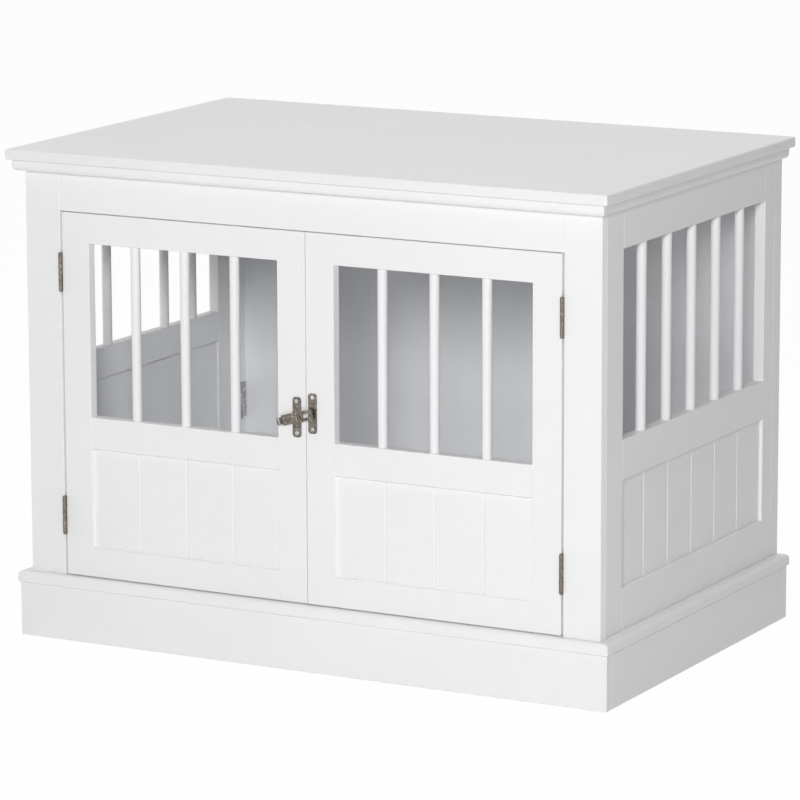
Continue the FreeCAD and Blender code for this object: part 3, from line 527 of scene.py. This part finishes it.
def screw_tree():
    """One screw at each point, facing the point's own direction and turned at random."""
    tree = Tree("cross_head_screws", {
        "Screw": "NodeSocketObject", "Seed": "NodeSocketInt", "Material": "NodeSocketMaterial"})
    given = tree.inputs
    screw = tree.add("GeometryNodeObjectInfo", {"Object": given["Screw"], "As Instance": True})
    facing = tree.add("GeometryNodeInputNamedAttribute", {"Name": "facing"},
                      data_type="FLOAT_VECTOR")
    aim = tree.add("FunctionNodeAlignEulerToVector", {"Vector": facing.outputs["Attribute"]},
                   axis="Z")
    spin = tree.add("FunctionNodeRandomValue", {"Seed": given["Seed"]}, data_type="FLOAT")
    spin.inputs[3].default_value = math.tau
    twist = tree.add("ShaderNodeCombineXYZ", {"Z": spin.outputs[1]})
    turned = tree.add("FunctionNodeRotateEuler", {
        "Rotation": aim.outputs[0], "Rotate By": twist.outputs[0]}, space="LOCAL")
    placed = tree.add("GeometryNodeInstanceOnPoints", {
        "Points": given["Geometry"], "Instance": screw.outputs["Geometry"],
        "Rotation": turned.outputs[0]})
    tree.end(placed.outputs["Instances"])
    return tree


# Meshes

def new_piece(name, mesh, body, stands_for=()):
    """Put a finished mesh on a body, in place of the nodes that it stands for."""
    piece = bpy.data.objects.new(name, mesh)
    bpy.context.scene.collection.objects.link(piece)
    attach(piece, body)
    if stands_for:
        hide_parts(*stands_for)
    return piece


def mesh_of(name, sheet):
    """A mesh datablock from a bmesh, with its faces turned outwards."""
    bmesh.ops.recalc_face_normals(sheet, faces=sheet.faces)
    mesh = bpy.data.meshes.new(name)
    sheet.to_mesh(mesh)
    sheet.free()
    return mesh


def revolve(sheet, outline, sides):
    """Turn an outline of (radius, height) pairs about Z, closed at both ends."""
    rings = []
    for radius, height in outline:
        rings.append([sheet.verts.new((radius * math.cos(math.tau * i / sides),
                                       radius * math.sin(math.tau * i / sides), height))
                      for i in range(sides)])
    for lower, upper in zip(rings, rings[1:]):
        for i in range(sides):
            j = (i + 1) % sides
            sheet.faces.new((lower[i], lower[j], upper[j], upper[i]))
    sheet.faces.new(reversed(rings[0]))
    sheet.faces.new(rings[-1])


def cross_head_screw(name, outline, sides, reach, depth):
    """A screw mesh with a tapered driver cross cut into its head."""
    sheet = bmesh.new()
    revolve(sheet, outline, sides)
    body = bpy.data.objects.new(name, mesh_of(name, sheet))
    top = outline[-1][1]
    cutters = []
    for turn in (0.0, math.pi / 2):
        sheet = bmesh.new()
        bmesh.ops.create_cube(sheet, size=1.0)
        for vert in sheet.verts:
            deep = vert.co.z < 0
            vert.co.x *= reach * (0.8 if deep else 2.2)
            vert.co.y *= reach * (0.24 if deep else 0.42)
            vert.co.z = top - depth if deep else top + depth
        bmesh.ops.rotate(sheet, verts=sheet.verts, matrix=Matrix.Rotation(turn, 3, "Z"))
        cutter = bpy.data.objects.new(f"{name}_cross", mesh_of(f"{name}_cross", sheet))
        cutters.append(cutter)
    for part in (body, *cutters):
        bpy.context.scene.collection.objects.link(part)
    for cutter in cutters:
        modifier = body.modifiers.new("cross", "BOOLEAN")
        modifier.operation = "DIFFERENCE"
        modifier.object = cutter
    graph = bpy.context.evaluated_depsgraph_get()
    mesh = bpy.data.meshes.new_from_object(body.evaluated_get(graph), depsgraph=graph)
    for part in (body, *cutters):
        bpy.data.objects.remove(part)
    screw = bpy.data.objects.new(name, mesh)
    bpy.context.scene.collection.objects.link(screw)
    return screw


# Operators

class CRATE_OT_frame(bpy.types.Operator):
    """Paint the front frame, side frames, doors and their grooved panels"""

    bl_idname = "crate.frame"
    bl_label = "Frame and doors"

    def execute(self, context):
        finish, sizes = context.scene.crate_finish, context.scene.crate_sizes
        colour, board = tuple(finish.paint), tuple(finish.board)
        # The inside and edge colours are painted light: lighter whites standing in for light inside
        # the crate and in the gaps.
        inside, edges = tuple(finish.painted_inside_light), tuple(finish.painted_edge_light)
        across = satin_paint("paint_across", colour, board, ALONG_X, sizes.edge_round,
                             edges=edges)
        tall = satin_paint("paint_tall", colour, board, ALONG_Z, sizes.edge_round, edges=edges)
        upright = satin_paint("paint_upright", colour, board, ALONG_Z, sizes.edge_round,
                              inside=inside)
        deep = satin_paint("paint_deep", colour, board, ALONG_Y, sizes.edge_round,
                           inside=inside)
        names = [name for name in frame["nodes"] if name not in ("back_panel", "floor_panel")
                 and name.endswith(("_stile", "_post", "_rail", "_panel"))]
        for name in names:
            in_front = "door" in name or name.startswith("front_")
            if name.endswith("_rail"):
                dress((name,), across if in_front else deep)
            else:
                dress((name,), tall if in_front else upright)
        return {"FINISHED"}


class CRATE_OT_top(bpy.types.Operator):
    """Paint the table top and the moulding under it"""

    bl_idname = "crate.top"
    bl_label = "Table top"

    def execute(self, context):
        finish, sizes = context.scene.crate_finish, context.scene.crate_sizes
        paint = satin_paint("paint_top", tuple(finish.paint_top), tuple(finish.board),
                            ALONG_X, sizes.edge_round, 0.10)
        dress([name for name in frame["nodes"] if name == "table_top"
               or name.startswith("top_moulding")], paint)
        return {"FINISHED"}


class CRATE_OT_base(bpy.types.Operator):
    """Paint the plinth and its moulding, the floor, the back and the hidden strips"""

    bl_idname = "crate.base"
    bl_label = "Plinth, floor and back"

    def execute(self, context):
        finish, sizes = context.scene.crate_finish, context.scene.crate_sizes
        colour, board = tuple(finish.paint), tuple(finish.board)
        dress([name for name in frame["nodes"] if name.startswith(("plinth_", "base_cap_"))],
              satin_paint("paint_plinth", colour, board, ROUND_X_AND_Y, sizes.edge_round, 0.28))
        # The back and floor colour is lifted above the frame's white as painted light inside the
        # crate.
        dress(("back_panel", "floor_panel"), back_paint("back_tint_and_painted_light", tuple(finish.back_tint_and_painted_light)))
        dress(("cleats",), primed_wood("primed_strip", tuple(finish.primer)))
        return {"FINISHED"}


class CRATE_OT_bars(bpy.types.Operator):
    """Make the turned bars of the sides and doors"""

    bl_idname = "crate.bars"
    bl_label = "Bars"

    def execute(self, context):
        finish, sizes = context.scene.crate_finish, context.scene.crate_sizes
        paint = satin_paint("paint_bars", tuple(finish.paint), tuple(finish.board),
                            BAR_STROKES, sizes.edge_round, 0.05)
        tree = bar_tree()
        for body, names in SPINDLE_NODES.items():
            count = sizes.bar_counts_side if body == "carcass" else sizes.bar_counts_door
            for name in names:
                found = sorted(solids(name), key=lambda solid: solid[0].x + solid[0].y)
                if len(found) != count:
                    raise RuntimeError(f"{name} has {len(found)} bars")
                centre, low, high, _ = found[0]
                mesh = tree.grow(f"{name}_turned", {
                    "Start": centre, "Step": found[1][0] - centre, "Count": count,
                    "Radius": (high.x - low.x) / 2, "Length": high.z - low.z,
                    "Seat": sizes.bar_seat, "Collar": sizes.bar_collar,
                    "Sides": sizes.bar_sides, "Material": paint})
                new_piece(f"{name}_turned", mesh, body, (name,))
        return {"FINISHED"}


class CRATE_OT_hinges(bpy.types.Operator):
    """Plate the door hinges in darkened nickel and the side hinges in zinc"""

    bl_idname = "crate.hinges"
    bl_label = "Hinges"

    def execute(self, context):
        finish = context.scene.crate_finish
        dress(HINGE_NODES, plated("satin_nickel", tuple(finish.nickel_with_dark_reflection), 0.30, 0.44,
                                  (1.0, 1.0, 0.05), 0.00025))
        dress(("fold_hinge_leaves",), plated("zinc_plate", tuple(finish.zinc), 0.34, 0.48,
                                             (1.0, 1.0, 0.05), 0.00025))
        return {"FINISHED"}


class CRATE_OT_latch(bpy.types.Operator):
    """Plate the draw latch"""

    bl_idname = "crate.latch"
    bl_label = "Latch"

    def execute(self, context):
        finish = context.scene.crate_finish
        # Painted reflection: the darkened nickel stands in for dark surroundings seen in the latch
        # metal.
        dress(LATCH_NODES, plated("latch_nickel", tuple(finish.nickel_with_dark_reflection), 0.24, 0.38,
                                  (0.05, 1.0, 1.0), 0.0003))
        return {"FINISHED"}


class CRATE_OT_screws(bpy.types.Operator):
    """Make the cross-head screws of the hinges and the latch"""

    bl_idname = "crate.screws"
    bl_label = "Screws"

    def execute(self, context):
        finish, sizes = context.scene.crate_finish, context.scene.crate_sizes
        zinc = plated("bright_zinc", tuple(finish.zinc), 0.16, 0.30, (1.0, 1.0, 1.0), 0.0001)
        radius, sides = sizes.screw_head, sizes.screw_sides
        flat = cross_head_screw("flat_screw", (
            (0.0004, -0.010), (0.0015, -0.0086), (0.0015, -0.0011), (radius, -0.0001),
            (radius, 0.0)), sides, radius * CROSS_SHARE, CROSS_DEPTH)
        raised = cross_head_screw("raised_screw", (
            (0.0004, -0.010), (0.0015, -0.0086), (0.0015, 0.0), (radius, 0.0),
            (radius * 0.97, 0.0004), (radius * 0.82, 0.0007), (radius * 0.5, RAISED_HEAD)),
            sides, radius * CROSS_SHARE, CROSS_DEPTH)
        tree = screw_tree()
        for body, name in SCREW_NODES.items():
            meshes = []
            for shape, is_raised in ((flat, False), (raised, True)):
                spots, ways = [], []
                for centre, low, high, points in solids(name):
                    size = high - low
                    axis = max(range(3), key=lambda index: size[index])
                    ends = []
                    for end in (low[axis], high[axis]):
                        near = [point for point in points if abs(point[axis] - end) < HEAD_ZONE]
                        ends.append(max((point - centre).length_squared
                                        - (point[axis] - centre[axis]) ** 2 for point in near))
                    way = Vector((0.0, 0.0, 0.0))
                    way[axis] = 1.0 if ends[1] > ends[0] else -1.0
                    if (size[axis] > LONG_SCREW) != is_raised:
                        continue
                    face = centre.copy()
                    face[axis] = high[axis] if way[axis] > 0 else low[axis]
                    if is_raised:
                        face -= way * RAISED_HEAD
                    spots.append(face)
                    ways.append(way)
                if not spots:
                    continue
                points = bpy.data.meshes.new("screw_spots")
                points.from_pydata(spots, [], [])
                facing = points.attributes.new("facing", "FLOAT_VECTOR", "POINT")
                facing.data.foreach_set("vector", [number for way in ways for number in way])
                meshes.append(tree.grow(f"{body}_screws", {
                    "Screw": shape, "Seed": sizes.screw_seed, "Material": zinc}, points))
            sheet = bmesh.new()
            for mesh in meshes:
                sheet.from_mesh(mesh)
            whole = bpy.data.meshes.new(f"{body}_screws")
            sheet.to_mesh(whole)
            sheet.free()
            whole.materials.append(zinc)
            new_piece(f"{body}_screws_made", whole, body, (name,))
        for blank in (flat, raised):
            bpy.data.objects.remove(blank)
        return {"FINISHED"}


class CRATE_OT_studio(bpy.types.Operator):
    """Set the floor, the lights and the camera"""

    bl_idname = "crate.studio"
    bl_label = "Studio"

    def execute(self, context):
        scene = context.scene
        finish, light = scene.crate_finish, scene.crate_studio
        scene.view_settings.view_transform = "Standard"

        sheet = bmesh.new()
        bmesh.ops.create_grid(sheet, x_segments=1, y_segments=1, size=FLOOR_REACH)
        floor = bpy.data.objects.new("studio_floor", mesh_of("studio_floor", sheet))
        scene.collection.objects.link(floor)
        paper = Surface("studio_paper")
        paper.shader.inputs["Base Color"].default_value = shade(tuple(finish.floor), 1.0)
        paper.shader.inputs["Roughness"].default_value = 0.9
        paper.shader.inputs["Specular IOR Level"].default_value = 0.1
        path = paper.add("ShaderNodeLightPath").outputs
        seen = paper.calculate("MAXIMUM", path["Is Camera Ray"], path["Is Glossy Ray"])
        glow = paper.add("ShaderNodeEmission")
        mixed = paper.add("ShaderNodeMixShader")
        paper.join(paper.calculate("MULTIPLY", seen, float(light.floor_glow)), mixed.inputs[0])
        paper.join(paper.shader.outputs[0], mixed.inputs[1])
        paper.join(glow.outputs[0], mixed.inputs[2])
        output = paper.tree.nodes["Material Output"]
        paper.join(mixed.outputs[0], output.inputs["Surface"])
        floor.data.materials.append(paper.material)

        world = bpy.data.worlds.new("studio_air")
        scene.world = world
        world.use_nodes = True
        nodes, links = world.node_tree.nodes, world.node_tree.links
        air = nodes["Background"]
        air.inputs["Color"].default_value = (1.0, 1.0, 1.0, 1.0)
        air.inputs["Strength"].default_value = light.ambient
        plain = nodes.new("ShaderNodeBackground")
        plain.inputs["Color"].default_value = (1.0, 1.0, 1.0, 1.0)
        rays = nodes.new("ShaderNodeLightPath").outputs
        seen = nodes.new("ShaderNodeMath")
        seen.operation = "MAXIMUM"
        links.new(rays["Is Camera Ray"], seen.inputs[0])
        links.new(rays["Is Glossy Ray"], seen.inputs[1])
        mix = nodes.new("ShaderNodeMixShader")
        links.new(seen.outputs[0], mix.inputs[0])
        links.new(air.outputs[0], mix.inputs[1])
        links.new(plain.outputs[0], mix.inputs[2])
        links.new(mix.outputs[0], nodes["World Output"].inputs["Surface"])

        for name, power, size, spot, aim in (
            ("key_light", light.key, 1.1, (1.72, -3.94, 1.67), (0.0, 0.0, 0.35)),
            ("overhead_light", light.overhead, 3.0, (0.0, 0.3, 4.0), (0.0, 0.0, 0.3)),
            ("side_light", light.side, 1.5, (-3.4, -0.5, 1.2), (0.0, 0.0, 0.35)),
        ):
            lamp = bpy.data.lights.new(name, "AREA")
            lamp.energy = power
            lamp.shape = "DISK"
            lamp.size = size
            holder = bpy.data.objects.new(name, lamp)
            scene.collection.objects.link(holder)
            holder.location = spot
            towards = Vector(aim) - Vector(spot)
            holder.rotation_euler = towards.to_track_quat("-Z", "Y").to_euler()

        yaw, pitch, roll = CAMERA_YAW, CAMERA_PITCH, CAMERA_ROLL
        forward = Vector((-math.sin(yaw) * math.cos(pitch), math.cos(yaw) * math.cos(pitch),
                          math.sin(pitch)))
        level = Vector((math.cos(yaw), math.sin(yaw), 0.0))
        above = level.cross(forward)
        right = level * math.cos(roll) + above * math.sin(roll)
        up = above * math.cos(roll) - level * math.sin(roll)
        lens = bpy.data.cameras.new("camera")
        lens.sensor_width = SENSOR
        lens.lens = FOCAL_PIXELS * SENSOR / PICTURE_PIXELS
        camera = bpy.data.objects.new("camera", lens)
        scene.collection.objects.link(camera)
        camera.matrix_world = Matrix((
            (right.x, up.x, -forward.x, CAMERA_PLACE[0]),
            (right.y, up.y, -forward.y, CAMERA_PLACE[1]),
            (right.z, up.z, -forward.z, CAMERA_PLACE[2]),
            (0.0, 0.0, 0.0, 1.0)))
        scene.camera = camera
        return {"FINISHED"}


class CRATE_PT_panel(bpy.types.Panel):
    """Lists the crate's pieces and its sizes and colours"""

    bl_idname = "CRATE_PT_panel"
    bl_label = "Dog crate end table"
    bl_space_type = "VIEW_3D"
    bl_region_type = "UI"
    bl_category = "Crate"

    def draw(self, context):
        layout = self.layout
        for group in (context.scene.crate_sizes, context.scene.crate_finish,
                      context.scene.crate_studio):
            box = layout.box()
            for name in group.__annotations__:
                box.prop(group, name)
        for operator in OPERATORS:
            layout.operator(operator.bl_idname)


OPERATORS = (CRATE_OT_frame, CRATE_OT_top, CRATE_OT_base, CRATE_OT_bars, CRATE_OT_hinges,
             CRATE_OT_latch, CRATE_OT_screws, CRATE_OT_studio)
GROUPS = (CrateSizes, CrateFinish, CrateStudio)


def register():
    for cls in (*GROUPS, *OPERATORS, CRATE_PT_panel):
        bpy.utils.register_class(cls)
    bpy.types.Scene.crate_sizes = bpy.props.PointerProperty(type=CrateSizes)
    bpy.types.Scene.crate_finish = bpy.props.PointerProperty(type=CrateFinish)
    bpy.types.Scene.crate_studio = bpy.props.PointerProperty(type=CrateStudio)


def unregister():
    del bpy.types.Scene.crate_studio
    del bpy.types.Scene.crate_finish
    del bpy.types.Scene.crate_sizes
    for cls in reversed((*GROUPS, *OPERATORS, CRATE_PT_panel)):
        bpy.utils.unregister_class(cls)


def main():
    register()
    bpy.ops.crate.frame()
    bpy.ops.crate.top()
    bpy.ops.crate.base()
    bpy.ops.crate.bars()
    bpy.ops.crate.hinges()
    bpy.ops.crate.latch()
    bpy.ops.crate.screws()
    bpy.ops.crate.studio()


if __name__ == "__main__":
    main()
